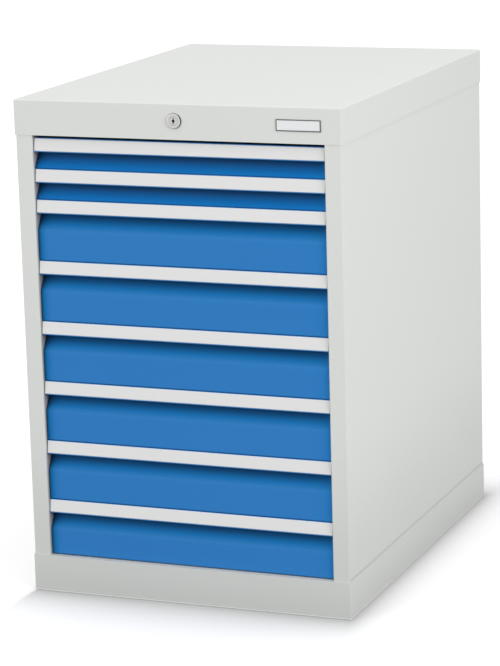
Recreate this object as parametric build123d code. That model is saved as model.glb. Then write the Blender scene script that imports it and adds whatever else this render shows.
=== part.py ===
from build123d import *
import os
from math import cos, dist, hypot, radians, sin

# Free-standing sheet-steel drawer cabinet: eight full-extension drawers behind
# a folded carcass, with one cylinder lock in the top rail that holds them all.
# Millimetres. +Z is up, the fronts face -Y and +X is to the right of someone
# who stands before them. Z = 0 is the floor, X = Y = 0 the middle of the base.

# Carcass
BODY_WIDTH = 552.0  # over the two side panels
BODY_DEPTH = 733.0  # front face of the uprights to the rear flanges
CARCASS_SHEET = 1.5
PLINTH_HEIGHT = 62.0
TOP_RAIL_HEIGHT = 57.0  # skirt of the cover, above the drawers
UPRIGHT_WIDTH = 28.0  # front face of a side panel, beside the drawers
UPRIGHT_RETURN = 25.0  # how far it folds back into the opening
REAR_FLANGE = 26.0
PLINTH_FLANGE = 25.0  # inward foot flange that the cabinet stands on
CARCASS_BEND = 0.5  # inside radius of the folds
FLOOR_LIP = 20.0
CROSSBAR_LIP = 14.0
PANEL_GAP = 0.5  # slack between a fitted panel and its neighbours

# Drawers, the top one first
DRAWER_HEIGHTS = [50.0, 50.0, 100.0, 100.0, 100.0, 100.0, 100.0, 100.0]

# Drawer fronts: depths are behind the face of the uprights
FRONT_SHEET = 1.2
FRONT_BEND = 0.8
FRONT_SIDE_GAP = 1.5
FRONT_TOP_GAP = 5.9
FRONT_OVERLAP = 4.6  # the front hangs this far below its own cell
FLOOR_GAP = 1.5  # lowest front above the plinth
FRONT_FACE_SETBACK = 6.5  # flat of the front
RECESS_DEPTH = 23.0
SLOPE_TOP = 26.2  # below the top of the cell
SLOPE_BOTTOM = 55.0
SLOPE_BEND = 10.0  # soft fold from the slope to the flat
SHORTEST_FLAT = 3.0  # of a low front, whose slope is steeper
BOTTOM_RETURN = 13.0

# Grip strips
STRIP_SHEET = 2.0
STRIP_TOP_SETBACK = 6.2
STRIP_FOOT_SETBACK = 3.7
STRIP_HEIGHT = 20.3
STRIP_LIP = 6.5
STRIP_SEAT = 0.4  # slack between the strip and the front's folded edge
STRIP_EDGE = 1.0  # rounding of the strip's long edges

# Drawer boxes
BOX_SHEET = 1.2
BOX_BACK_SPACE = 103.4  # behind the boxes, for the catches and the lock bar
BOX_TOP_GAP = 12.0
BOX_BOTTOM_GAP = 2.0
BOX_RIM = 8.0
BOX_RIM_LIP = 6.0
TAB_WIDTH = 30.0
TAB_LENGTH = 25.0
TAB_SHEET = 2.0
TAB_LIP = 9.0

# Runners: three nested channels on each side
RUNNER_TAIL = 19.4  # past the rear wall of the box
RUNNER_HEIGHT = 35.6
RUNNER_SPACE = 22.1  # side of the box to the face of the posts
RUNNER_SHEET = 1.5
RUNNER_CLEARANCE = 0.4
RUNNER_SIDE_GAP = 0.8  # moving channels to the edge of the opening
RUNNER_TIP_GAP = 2.0
RUNNER_FLOOR_GAP = 0.7  # fixed channel above the bottom of its cell
RUNNER_SETBACK = 1.0  # behind the end of the uprights' return

# Posts that carry the runners
POST_WIDTH = 30.0
POST_SLOT_PITCH = 25.0
POST_SLOT_START = 6.0
POST_SLOT_WIDTH = 12.0
POST_SLOT_HEIGHT = 8.0

# Fasteners
RAIL_SCREW_RADIUS = 2.0
RAIL_SCREW_HEAD = 3.5
RAIL_NUT_RADIUS = 3.8
RAIL_NUT_LENGTH = 3.0
BACK_SCREW_RADIUS = 1.9
BACK_SCREW_HEAD = 4.5
BACK_SCREW_HEAD_HEIGHT = 1.4
BACK_SCREW_LENGTH = 9.0
BACK_SCREW_LOW = 38.0  # first screw above the plinth
BACK_SCREW_HIGH = 40.0  # last screw below the cover's skirt
BACK_SCREWS_PER_SIDE = 4
HOLE_CLEARANCE = 0.1

# Cylinder lock and its rod
ROSETTE_RADIUS = 12.5
ROSETTE_PROUD = 3.0
ROSETTE_EDGE = 1.2
BARREL_RADIUS = 9.5
BARREL_LENGTH = 30.0  # behind the face of the uprights
PLUG_RADIUS = 7.0
PLUG_CLEARANCE = 0.05
PLUG_INSET = 0.4
KEYHOLE_RADIUS = 1.9
KEYHOLE_SLOT = 2.0
KEYHOLE_ABOVE = 5.2  # slot from the middle of the plug
KEYHOLE_BELOW = 3.2
KEYHOLE_DEPTH = 12.0
LOCK_RAISE = 30.0  # centre of the lock above the drawers
LOCK_NUT_RADIUS = 13.0
LOCK_NUT_LENGTH = 5.0
ROD_RADIUS = 4.0
ROD_CLEARANCE = 0.05
ROD_COLLAR_RADIUS = 6.5
ROD_COLLAR_LENGTH = 8.0
BUSH_WALL = 3.0
BUSH_FLANGE = 10.0
BUSH_FLANGE_SHEET = 1.5
BUSH_LENGTH = 6.0
CRANK_RADIUS = 7.0
CRANK_SHEET = 3.0
CRANK_PIN_RADIUS = 2.5
CRANK_EYE_WALL = 1.5  # crank plate round the rod and round the pin
CRANK_SWING = 45.0  # each way from level, so the key turns twice this

# Lock bar behind the drawers
LOCK_BAR_WIDTH = 24.0
LOCK_BAR_SHEET = 3.0
LOCK_BAR_GAP = 4.4  # behind the catch lips
LOCK_BAR_HEAD_WIDTH = 32.0
LOCK_BAR_HEAD = 9.0  # head above and below its slot
LOCK_BAR_SLACK = 0.4
LOCK_BAR_FOOT = 2.0
HOOK_SHEET = 3.0
HOOK_WIDTH = 16.0
HOOK_PLAY = 2.0  # hook to lip, along the travel
HOOK_DROP = 1.5  # unlocked hook below the lip
HOOK_RISE = 10.5  # finger above its arm
GUIDE_WIDTH = 40.0
GUIDE_HEIGHT = 9.0
GUIDE_WALL = 3.0
GUIDE_STOP_GAP = 0.3

# Rear crossbar, which carries the rod's bush and the upper guide
REAR_BAR_GAP = 15.0  # rear face, behind the drawer boxes
REAR_BAR_FLANGE = 20.0
REAR_BAR_DROP = 2.5  # below the cover
REAR_BAR_RAISE = 3.0  # above the opening

# Name plate, left bare
PLATE_WIDTH = 73.5
PLATE_HEIGHT = 18.4
PLATE_THICKNESS = 1.4
PLATE_FRAME = 1.5
PLATE_RECESS = 0.6
PLATE_INSET = 68.8  # centre from the side of the body
PLATE_RAISE = 28.5  # centre above the drawers

# Places that follow from the sizes above
BODY_HALF = BODY_WIDTH / 2
WALL_INSIDE = BODY_HALF - CARCASS_SHEET
OPENING_HALF = BODY_HALF - UPRIGHT_WIDTH
OPENING_BOTTOM = PLINTH_HEIGHT
OPENING_TOP = OPENING_BOTTOM + sum(DRAWER_HEIGHTS)
TOTAL_HEIGHT = OPENING_TOP + TOP_RAIL_HEIGHT
CARCASS_TOP = TOTAL_HEIGHT - CARCASS_SHEET
FRONT = -(BODY_DEPTH - ROSETTE_PROUD) / 2
BACK = FRONT + BODY_DEPTH
LOCK_Z = OPENING_TOP + LOCK_RAISE

MID_FACE = OPENING_HALF - RUNNER_SIDE_GAP
POST_FACE = MID_FACE + RUNNER_CLEARANCE + RUNNER_SHEET
BOX_HALF = POST_FACE - RUNNER_SPACE
FRONT_HALF = OPENING_HALF - FRONT_SIDE_GAP
RUNNER_CENTRE = RUNNER_FLOOR_GAP + RUNNER_HEIGHT / 2
OUTER_HALF = RUNNER_HEIGHT / 2  # half heights of the three nested channels
MID_HALF = OUTER_HALF - RUNNER_SHEET - RUNNER_CLEARANCE
INNER_HALF = MID_HALF - RUNNER_SHEET - RUNNER_CLEARANCE
CHANNEL_TIP = BOX_HALF + RUNNER_TIP_GAP
RAIL_SCREW_GRIP = RUNNER_SHEET + CARCASS_SHEET + RAIL_NUT_LENGTH
RUNNER_START = FRONT + UPRIGHT_RETURN + RUNNER_SETBACK
BOX_START = FRONT + RECESS_DEPTH + FRONT_SHEET
BOX_END = BACK - 2 * CARCASS_SHEET - BOX_BACK_SPACE
BOX_INSIDE_DEPTH = BOX_END - BOX_START - 2 * BOX_SHEET
RUNNER_LENGTH = BOX_END + RUNNER_TAIL - RUNNER_START
POST_STARTS = [RUNNER_START, BOX_END - POST_WIDTH]

TAB_END = BOX_END + TAB_LENGTH
LOCK_BAR_FACE = TAB_END + LOCK_BAR_GAP
HOOK_FACE = TAB_END - TAB_SHEET - HOOK_PLAY
REAR_BAR_FACE = BOX_END + REAR_BAR_GAP
PIN_OUT = CRANK_RADIUS * cos(radians(CRANK_SWING))
PIN_DROP = CRANK_RADIUS * sin(radians(CRANK_SWING))
HEAD_CENTRE = LOCK_Z - PIN_DROP
HEAD_BOTTOM = HEAD_CENTRE - LOCK_BAR_HEAD


def block(x0, x1, y0, y1, z0, z1):
    """A box between two corners."""
    middle = Pos((x0 + x1) / 2, (y0 + y1) / 2, (z0 + z1) / 2)
    return middle * Box(x1 - x0, y1 - y0, z1 - z0)


def rod(radius, y0, y1, x=0.0, z=LOCK_Z):
    """A round bar along Y."""
    return Pos(x, (y0 + y1) / 2, z) * Rot(90, 0, 0) * Cylinder(radius, y1 - y0)


def mirrored(solid):
    """The same piece on the other side of the cabinet."""
    return mirror(solid, Plane.YZ)


def cut(solid, tools):
    """Take a list of tools out of a solid in one go."""
    return solid - Compound(children=tools)


def left_normal(a, b):
    """Unit vector to the left of the way from a to b."""
    length = hypot(b[0] - a[0], b[1] - a[1])
    return (a[1] - b[1]) / length, (b[0] - a[0]) / length


def folded(points, sheet, bend, soft_fold=0, soft_bend=0.0):
    """Section of a folded sheet: its faces run along points and sheet to their left.
    Every fold has the inside radius bend, but the fold at point soft_fold has soft_bend.
    """
    normals = [left_normal(a, b) for a, b in zip(points, points[1:])]
    normals = [normals[0]] + normals + [normals[-1]]
    offset = []
    for (u, v), (nu, nv), (mu, mv) in zip(points, normals, normals[1:]):
        stretch = sheet / (1 + nu * mu + nv * mv)
        offset.append((u + (nu + mu) * stretch, v + (nv + mv) * stretch))
    face = make_face(Polyline(*points, *reversed(offset), close=True))
    for index in range(1, len(points) - 1):
        (nu, nv), (mu, mv) = normals[index], normals[index + 1]
        turns_left = nu * mv - nv * mu > 0
        half_turn_tangent = abs(nu * mv - nv * mu) / (1 + nu * mu + nv * mv)
        inner = soft_bend if index == soft_fold else bend
        for line, inside in ((points, not turns_left), (offset, turns_left)):
            corner = line[index]
            room = min(dist(corner, line[index - 1]), dist(corner, line[index + 1])) / 2
            radius = min(inner if inside else inner + sheet, 0.9 * room / half_turn_tangent)
            nearest = face.vertices().sort_by_distance((corner[0], corner[1], 0))[0]
            face = fillet(nearest, radius)
    return face


def along_x(face, x0, x1):
    """A (y, z) section pulled from x0 to x1."""
    return extrude(Plane.YZ.offset(x0) * face, amount=x1 - x0)


def along_z(face, z0, z1):
    """An (x, y) section pulled from z0 to z1."""
    return extrude(Plane.XY.offset(z0) * face, amount=z1 - z0)


def polygon(*points):
    return make_face(Polyline(*points, close=True))


def cells():
    """Number, bottom and top of each drawer's space, from the top down."""
    top = OPENING_TOP
    for number, height in enumerate(DRAWER_HEIGHTS, start=1):
        yield number, top - height, top
        top -= height


def screw_heights():
    """Heights of the back panel's screws, clear of the plinth and the cover."""
    low = OPENING_BOTTOM + BACK_SCREW_LOW
    step = (OPENING_TOP - BACK_SCREW_HIGH - low) / (BACK_SCREWS_PER_SIDE - 1)
    return [low + index * step for index in range(BACK_SCREWS_PER_SIDE)]


def back_screw_places():
    across = BODY_HALF - REAR_FLANGE / 2
    return [(side * across, z) for side in (-1, 1) for z in screw_heights()]


def rail_screw_places():
    """Where the right-hand runners are screwed to their posts."""
    return [
        (start + POST_WIDTH / 2, bottom + RUNNER_CENTRE)
        for start in POST_STARTS
        for _, bottom, _ in cells()
    ]


def jacket(height, folded_end):
    """Block that wraps the body's corners, standing on z = 0, with the folds of its
    uprights and of one end: 0 is the lower one and -1 the upper one.
    """
    half = BODY_HALF + CARCASS_SHEET
    front, back = FRONT - CARCASS_SHEET, BACK + CARCASS_SHEET
    shell = block(-half, half, front, back, 0, height)
    folds = shell.edges().filter_by(Axis.Z) + shell.faces().sort_by(Axis.Z)[folded_end].edges()
    return fillet(folds, CARCASS_BEND + CARCASS_SHEET)


def top_cover():
    shell = Pos(0, 0, OPENING_TOP) * jacket(TOP_RAIL_HEIGHT, -1)
    inside = block(-BODY_HALF, BODY_HALF, FRONT, BACK, OPENING_TOP, CARCASS_TOP)
    lock_hole = rod(BARREL_RADIUS + HOLE_CLEARANCE, FRONT - 2 * CARCASS_SHEET, FRONT + CARCASS_SHEET)
    return cut(shell, [inside, lock_hole])


def plinth():
    inside = block(-BODY_HALF, BODY_HALF, FRONT, BACK, CARCASS_SHEET, PLINTH_HEIGHT)
    half = BODY_HALF - PLINTH_FLANGE
    way_in = block(-half, half, FRONT + PLINTH_FLANGE, BACK - PLINTH_FLANGE, 0, CARCASS_SHEET)
    return cut(jacket(PLINTH_HEIGHT, 0), [inside, way_in])


def side_panel():
    """Right-hand panel: upright, wall and rear flange folded from one sheet."""
    path = [
        (OPENING_HALF, FRONT + UPRIGHT_RETURN),
        (OPENING_HALF, FRONT),
        (BODY_HALF, FRONT),
        (BODY_HALF, BACK),
        (BODY_HALF - REAR_FLANGE, BACK),
    ]
    panel = along_z(folded(path, CARCASS_SHEET, CARCASS_BEND), CARCASS_SHEET, CARCASS_TOP)
    hole = BACK_SCREW_RADIUS + HOLE_CLEARANCE
    places = [place for place in back_screw_places() if place[0] > 0]
    return cut(panel, [rod(hole, BACK - 2 * CARCASS_SHEET, BACK + 1, x, z) for x, z in places])


def back_panel():
    half = WALL_INSIDE - PANEL_GAP
    face = BACK - 2 * CARCASS_SHEET
    panel = block(-half, half, face, face + CARCASS_SHEET, CARCASS_SHEET, CARCASS_TOP)
    hole = BACK_SCREW_RADIUS + HOLE_CLEARANCE
    return cut(panel, [rod(hole, face - 1, BACK, x, z) for x, z in back_screw_places()])


def floor_panel():
    """Tray under the drawers, turned down at its edges and notched round the uprights."""
    top, rear = OPENING_BOTTOM, BACK - 2 * CARCASS_SHEET - PANEL_GAP
    tray = block(-WALL_INSIDE, WALL_INSIDE, FRONT, rear, top - FLOOR_LIP, top)
    hollow = block(
        CARCASS_SHEET - WALL_INSIDE,
        WALL_INSIDE - CARCASS_SHEET,
        FRONT + CARCASS_SHEET,
        rear - CARCASS_SHEET,
        top - FLOOR_LIP,
        top - CARCASS_SHEET,
    )
    notch_end = FRONT + UPRIGHT_RETURN + PANEL_GAP
    notch = block(OPENING_HALF, BODY_HALF, FRONT, notch_end, top - FLOOR_LIP, top)
    return cut(tray, [hollow, notch, mirrored(notch)])


def front_crossbar():
    """Channel between the uprights, behind the cover's skirt."""
    path = [
        (FRONT + UPRIGHT_RETURN, CARCASS_TOP),
        (FRONT, CARCASS_TOP),
        (FRONT, OPENING_TOP),
        (FRONT + UPRIGHT_RETURN, OPENING_TOP),
        (FRONT + UPRIGHT_RETURN, OPENING_TOP + CROSSBAR_LIP),
    ]
    bar = along_x(folded(path, CARCASS_SHEET, CARCASS_BEND), -OPENING_HALF, OPENING_HALF)
    return bar - rod(BARREL_RADIUS + HOLE_CLEARANCE, FRONT - 1, FRONT + 2 * CARCASS_SHEET)


def rear_crossbar():
    """Channel between the side panels; it stops short of the rear flanges."""
    flange = REAR_BAR_FACE - REAR_BAR_FLANGE
    low, high = OPENING_TOP + REAR_BAR_RAISE, CARCASS_TOP - REAR_BAR_DROP
    path = [(flange, low), (REAR_BAR_FACE, low), (REAR_BAR_FACE, high), (flange, high)]
    bar = along_x(folded(path, CARCASS_SHEET, CARCASS_BEND), -WALL_INSIDE, WALL_INSIDE)
    hole = ROD_RADIUS + ROD_CLEARANCE + BUSH_WALL + HOLE_CLEARANCE
    return bar - rod(hole, REAR_BAR_FACE - 2 * CARCASS_SHEET, REAR_BAR_FACE + 1)


def runner_posts():
    """Two slotted channels at each side, standing on the floor panel."""
    posts = []
    hole = RAIL_SCREW_RADIUS + HOLE_CLEARANCE
    for start in POST_STARTS:
        end = start + POST_WIDTH
        path = [(WALL_INSIDE, start), (POST_FACE, start), (POST_FACE, end), (WALL_INSIDE, end)]
        section = folded(list(reversed(path)), CARCASS_SHEET, CARCASS_BEND)
        post = along_z(section, OPENING_BOTTOM, OPENING_TOP)
        middle = start + POST_WIDTH / 2
        through = Pos(POST_FACE + CARCASS_SHEET / 2, middle, 0)
        tools = [
            Pos(0, 0, bottom + RUNNER_CENTRE) * through * Rot(0, 90, 0) * Cylinder(hole, 4 * CARCASS_SHEET)
            for _, bottom, _ in cells()
        ]
        z = OPENING_BOTTOM + POST_SLOT_START
        while z + POST_SLOT_HEIGHT < OPENING_TOP:
            tools.append(Pos(0, 0, z) * through * Box(4 * CARCASS_SHEET, POST_SLOT_WIDTH, POST_SLOT_HEIGHT))
            z += POST_SLOT_PITCH
        posts.append(cut(post, tools))
    return Compound(children=posts + [mirrored(post) for post in posts])


def channel(web_out, tip, half_height):
    """(x, z) section of one runner channel, its web at web_out and its flanges to tip."""
    inward = 1 if web_out > tip else -1
    web_in = web_out - inward * RUNNER_SHEET
    inside = half_height - RUNNER_SHEET
    return polygon(
        (tip, half_height),
        (web_out, half_height),
        (web_out, -half_height),
        (tip, -half_height),
        (tip, -inside),
        (web_in, -inside),
        (web_in, inside),
        (tip, inside),
    )


def runner_pair(section, centre):
    """A channel on each side of one drawer."""
    plane = Plane((0, RUNNER_START, centre), x_dir=(1, 0, 0), z_dir=(0, -1, 0))
    right = extrude(plane * section, amount=-RUNNER_LENGTH)
    return [right, mirrored(right)]


def screw_profile(growth):
    """Countersunk screw about the Z axis, its face on z = 0; growth makes it a hole."""
    head, shank = RAIL_SCREW_HEAD + growth, RAIL_SCREW_RADIUS + growth
    cone = head - shank
    return polygon((0, 0), (head, 0), (shank, cone), (shank, RAIL_SCREW_GRIP), (0, RAIL_SCREW_GRIP))


def rail_screw(growth=0.0):
    """Screw along +X from the face of the outer channel, with its head flush."""
    screw = revolve(Plane.XZ * screw_profile(growth), Axis.Z)
    return Pos(POST_FACE - RUNNER_SHEET, 0, 0) * Rot(0, 90, 0) * screw


def cabinet_rails():
    """The fixed channels, screwed to the posts."""
    rails = []
    for _, bottom, _ in cells():
        centre = bottom + RUNNER_CENTRE
        right = runner_pair(channel(POST_FACE, CHANNEL_TIP, OUTER_HALF), centre)[0]
        holes = [Pos(0, start + POST_WIDTH / 2, centre) * rail_screw(HOLE_CLEARANCE) for start in POST_STARTS]
        right = cut(right, holes)
        rails += [right, mirrored(right)]
    return Compound(children=rails)


def rail_screws():
    nut_middle = POST_FACE + CARCASS_SHEET + RAIL_NUT_LENGTH / 2
    nut = Rot(0, 90, 0) * Cylinder(RAIL_NUT_RADIUS, RAIL_NUT_LENGTH)
    screw = rail_screw() + Pos(nut_middle, 0, 0) * nut
    right = [Pos(0, y, z) * screw for y, z in rail_screw_places()]
    return Compound(children=right + [mirrored(screw) for screw in right])


def back_panel_screws():
    head = fillet(
        rod(BACK_SCREW_HEAD, BACK, BACK + BACK_SCREW_HEAD_HEIGHT, 0, 0).edges().sort_by(Axis.Y)[-1],
        BACK_SCREW_HEAD_HEIGHT / 2,
    )
    screw = head + rod(BACK_SCREW_RADIUS, BACK - BACK_SCREW_LENGTH, BACK, 0, 0)
    return Compound(children=[Pos(x, 0, z) * screw for x, z in back_screw_places()])


def lock_housing():
    """Rosette and barrel, bored for the plug."""
    rosette = rod(ROSETTE_RADIUS, FRONT - CARCASS_SHEET - ROSETTE_PROUD, FRONT - CARCASS_SHEET)
    rosette = fillet(rosette.edges().sort_by(Axis.Y)[0], ROSETTE_EDGE)
    barrel = rod(BARREL_RADIUS, FRONT - CARCASS_SHEET, FRONT + BARREL_LENGTH)
    bore = rod(PLUG_RADIUS + PLUG_CLEARANCE, FRONT - 2 * ROSETTE_PROUD, FRONT + BARREL_LENGTH + 1)
    return rosette + barrel - bore


def lock_nut():
    start = FRONT + CARCASS_SHEET
    hexagon = Plane((0, start, LOCK_Z), z_dir=(0, 1, 0)) * RegularPolygon(LOCK_NUT_RADIUS, 6)
    nut = extrude(hexagon, amount=LOCK_NUT_LENGTH)
    return nut - rod(BARREL_RADIUS + HOLE_CLEARANCE, start - 1, start + LOCK_NUT_LENGTH + 1)


def lock_plug():
    """The part that the key turns."""
    face = FRONT - CARCASS_SHEET - ROSETTE_PROUD + PLUG_INSET
    plug = rod(PLUG_RADIUS, face, FRONT + BARREL_LENGTH)
    slot = block(
        -KEYHOLE_SLOT / 2,
        KEYHOLE_SLOT / 2,
        face,
        face + KEYHOLE_DEPTH,
        LOCK_Z - KEYHOLE_BELOW,
        LOCK_Z + KEYHOLE_ABOVE,
    )
    return plug - slot - rod(KEYHOLE_RADIUS, face, face + KEYHOLE_DEPTH)


def lock_rod():
    """Rod from the plug to the rear, with the crank and its pin welded on."""
    start = FRONT + BARREL_LENGTH
    crank_end = LOCK_BAR_FACE - LOCK_BAR_GAP
    crank_start = crank_end - CRANK_SHEET
    body = rod(ROD_RADIUS, start, crank_end)
    collar = rod(ROD_COLLAR_RADIUS, start, start + ROD_COLLAR_LENGTH)
    pin_place = (-PIN_OUT, LOCK_Z - PIN_DROP)
    boss = ROD_RADIUS + CRANK_EYE_WALL
    eye = CRANK_PIN_RADIUS + CRANK_EYE_WALL
    arm = make_hull([
        *(Pos(0, LOCK_Z) * Circle(boss)).edges(),
        *(Pos(*pin_place) * Circle(eye)).edges(),
    ])
    arm = extrude(Plane((0, crank_start, 0), x_dir=(1, 0, 0), z_dir=(0, -1, 0)) * arm, amount=-CRANK_SHEET)
    pin_end = LOCK_BAR_FACE + LOCK_BAR_SHEET + LOCK_BAR_SLACK
    pin = rod(CRANK_PIN_RADIUS, crank_start, pin_end, pin_place[0], pin_place[1])
    return body + collar + arm + pin


def rod_bush():
    """Flanged bush in the rear crossbar."""
    flange_start = REAR_BAR_FACE - CARCASS_SHEET - BUSH_FLANGE_SHEET
    end = flange_start + BUSH_LENGTH
    sleeve = rod(ROD_RADIUS + ROD_CLEARANCE + BUSH_WALL, flange_start, end)
    flange = rod(BUSH_FLANGE, flange_start, flange_start + BUSH_FLANGE_SHEET)
    return sleeve + flange - rod(ROD_RADIUS + ROD_CLEARANCE, flange_start - 1, end + 1)


def catch_lip_bottom(cell_top):
    """Lower edge of the lip that the lock bar's hook catches."""
    return cell_top - BOX_TOP_GAP - TAB_SHEET - TAB_LIP


def lock_bar():
    """Flat bar with a slotted head and one welded hook for each drawer."""
    half, back = LOCK_BAR_WIDTH / 2, LOCK_BAR_FACE + LOCK_BAR_SHEET
    bar = block(-half, half, LOCK_BAR_FACE, back, OPENING_BOTTOM + LOCK_BAR_FOOT, HEAD_BOTTOM)
    head_half = LOCK_BAR_HEAD_WIDTH / 2
    head = block(-head_half, head_half, LOCK_BAR_FACE, back, HEAD_BOTTOM, HEAD_CENTRE + LOCK_BAR_HEAD)
    reach = CRANK_PIN_RADIUS + LOCK_BAR_SLACK
    slot = block(
        -CRANK_RADIUS - reach,
        -PIN_OUT + reach,
        LOCK_BAR_FACE,
        back,
        HEAD_CENTRE - reach,
        HEAD_CENTRE + reach,
    )
    solids = [bar + head - slot]
    across = HOOK_WIDTH / 2
    for _, _, top in cells():
        finger_top = catch_lip_bottom(top) - HOOK_DROP
        arm_top = finger_top - HOOK_RISE
        arm = block(-across, across, HOOK_FACE - HOOK_SHEET, LOCK_BAR_FACE, arm_top - HOOK_SHEET, arm_top)
        finger = block(-across, across, HOOK_FACE - HOOK_SHEET, HOOK_FACE, arm_top, finger_top)
        solids.append(arm + finger)
    return Compound(children=solids)


def lock_bar_guides():
    """Upper guide on the rear crossbar, which the bar's head rests on, and one on the floor."""
    half, slack = LOCK_BAR_WIDTH / 2, LOCK_BAR_SLACK
    front, back = LOCK_BAR_FACE - slack, LOCK_BAR_FACE + LOCK_BAR_SHEET + slack
    across = GUIDE_WIDTH / 2
    guides = []
    upper_top = HEAD_BOTTOM - GUIDE_STOP_GAP
    lower_top = OPENING_BOTTOM + GUIDE_HEIGHT
    for start, top in ((REAR_BAR_FACE, upper_top), (front - GUIDE_WALL, lower_top)):
        guide = block(-across, across, start, back + GUIDE_WALL, top - GUIDE_HEIGHT, top)
        way = block(-half - slack, half + slack, front, back, top - GUIDE_HEIGHT, top)
        guides.append(guide - way)
    return Compound(children=guides)


def name_plate():
    """Bare plate with a raised frame."""
    face = FRONT - CARCASS_SHEET
    centre, middle = BODY_HALF - PLATE_INSET, OPENING_TOP + PLATE_RAISE
    left, right = centre - PLATE_WIDTH / 2, centre + PLATE_WIDTH / 2
    low, high = middle - PLATE_HEIGHT / 2, middle + PLATE_HEIGHT / 2
    plate = block(left, right, face - PLATE_THICKNESS, face, low, high)
    field = block(
        left + PLATE_FRAME,
        right - PLATE_FRAME,
        face - PLATE_THICKNESS,
        face - PLATE_THICKNESS + PLATE_RECESS,
        low + PLATE_FRAME,
        high - PLATE_FRAME,
    )
    return plate - field


def front_bottom(bottom):
    """Lower edge of a drawer front: the last one stays clear of the plinth."""
    return max(bottom - FRONT_OVERLAP, OPENING_BOTTOM + FLOOR_GAP)


def strip_section_width():
    """Sheet of the slanted strip, measured level."""
    slant = hypot(STRIP_TOP_SETBACK - STRIP_FOOT_SETBACK, STRIP_HEIGHT) / STRIP_HEIGHT
    return STRIP_SHEET * slant


def drawer_front(bottom, top):
    """Sheet front: grip recess, slope and flat in one fold, with closed ends."""
    low = front_bottom(bottom)
    flange = top - FRONT_TOP_GAP - FRONT_SHEET
    recess, face = FRONT + RECESS_DEPTH, FRONT + FRONT_FACE_SETBACK
    slope_end = max(top - SLOPE_BOTTOM, low + SHORTEST_FLAT)
    path = [
        (FRONT + STRIP_TOP_SETBACK + strip_section_width() + STRIP_SEAT, flange),
        (recess, flange),
        (recess, top - SLOPE_TOP),
        (face, slope_end),
        (face, low),
        (face + BOTTOM_RETURN, low),
    ]
    section = folded(path, FRONT_SHEET, FRONT_BEND, soft_fold=3, soft_bend=SLOPE_BEND)
    sheet = along_x(section, -FRONT_HALF, FRONT_HALF)
    mid = FRONT_SHEET / 2
    outline = polygon(
        (recess + mid, top - SLOPE_TOP + FRONT_SHEET),
        (recess + FRONT_SHEET, top - SLOPE_TOP + FRONT_SHEET),
        (recess + FRONT_SHEET, low + mid),
        (face + mid + FRONT_BEND, low + mid),
        (face + mid, low + mid + FRONT_BEND),
        (face + mid, slope_end - SHORTEST_FLAT / 2),
        (face + mid + FRONT_SHEET, slope_end),
        (recess + mid, top - SLOPE_TOP),
    )
    cheek = along_x(outline, FRONT_HALF - FRONT_SHEET, FRONT_HALF)
    return sheet + cheek + mirrored(cheek)


def grip_strip(top):
    """Slanted metal strip with a leg under the front's top flange and a grip lip."""
    high, low = top - FRONT_TOP_GAP, top - FRONT_TOP_GAP - STRIP_HEIGHT
    upper, lower = FRONT + STRIP_TOP_SETBACK, FRONT + STRIP_FOOT_SETBACK
    across = strip_section_width()
    plate = polygon((upper, high), (lower, low), (lower + across, low), (upper + across, high))
    leg_top = high - FRONT_SHEET
    leg_end = FRONT + RECESS_DEPTH - FRONT_BEND
    leg = polygon(
        (upper + across / 2, leg_top),
        (leg_end, leg_top),
        (leg_end, leg_top - STRIP_SHEET),
        (upper + across / 2, leg_top - STRIP_SHEET),
    )
    lip_top = low + STRIP_SHEET
    lip = polygon((lower + across / 2, low), (lower + STRIP_LIP, low), (lower + STRIP_LIP, lip_top),
                  (lower + across / 2, lip_top))
    section = Sketch() + plate + leg + lip
    for corner in ((upper, high), (lower, low), (lower + STRIP_LIP, low)):
        nearest = section.vertices().sort_by_distance((corner[0], corner[1], 0))[0]
        section = fillet(nearest, STRIP_EDGE if corner[0] != lower + STRIP_LIP else STRIP_EDGE / 2)
    return along_x(section, -FRONT_HALF, FRONT_HALF)


def drawer_box(bottom, top):
    """Open tray with a folded rim, and the catch tab behind it."""
    low, high = bottom + BOX_BOTTOM_GAP, top - BOX_TOP_GAP
    body = block(-BOX_HALF, BOX_HALF, BOX_START, BOX_END, low, high)
    inner = BOX_HALF - BOX_SHEET
    front, back = BOX_START + BOX_SHEET, BOX_END - BOX_SHEET
    space = block(-inner, inner, front, back, low + BOX_SHEET, high - BOX_SHEET)
    rim = BOX_HALF - BOX_RIM
    mouth = block(-rim, rim, BOX_START + BOX_RIM, BOX_END - BOX_RIM, low + BOX_SHEET, high)
    lip = block(
        -rim - BOX_SHEET,
        rim + BOX_SHEET,
        BOX_START + BOX_RIM - BOX_SHEET,
        BOX_END - BOX_RIM + BOX_SHEET,
        high - BOX_RIM_LIP,
        high - BOX_SHEET,
    )
    tab_half = TAB_WIDTH / 2
    tab = block(-tab_half, tab_half, BOX_END - BOX_SHEET, TAB_END, high - TAB_SHEET, high)
    catch = block(-tab_half, tab_half, TAB_END - TAB_SHEET, TAB_END, catch_lip_bottom(top), high)
    return body - space + (lip - mouth) - mouth + tab + catch


def save(name, shape):
    shape.label = name
    export_step(shape, os.path.join("parts", name + ".step"))


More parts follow.
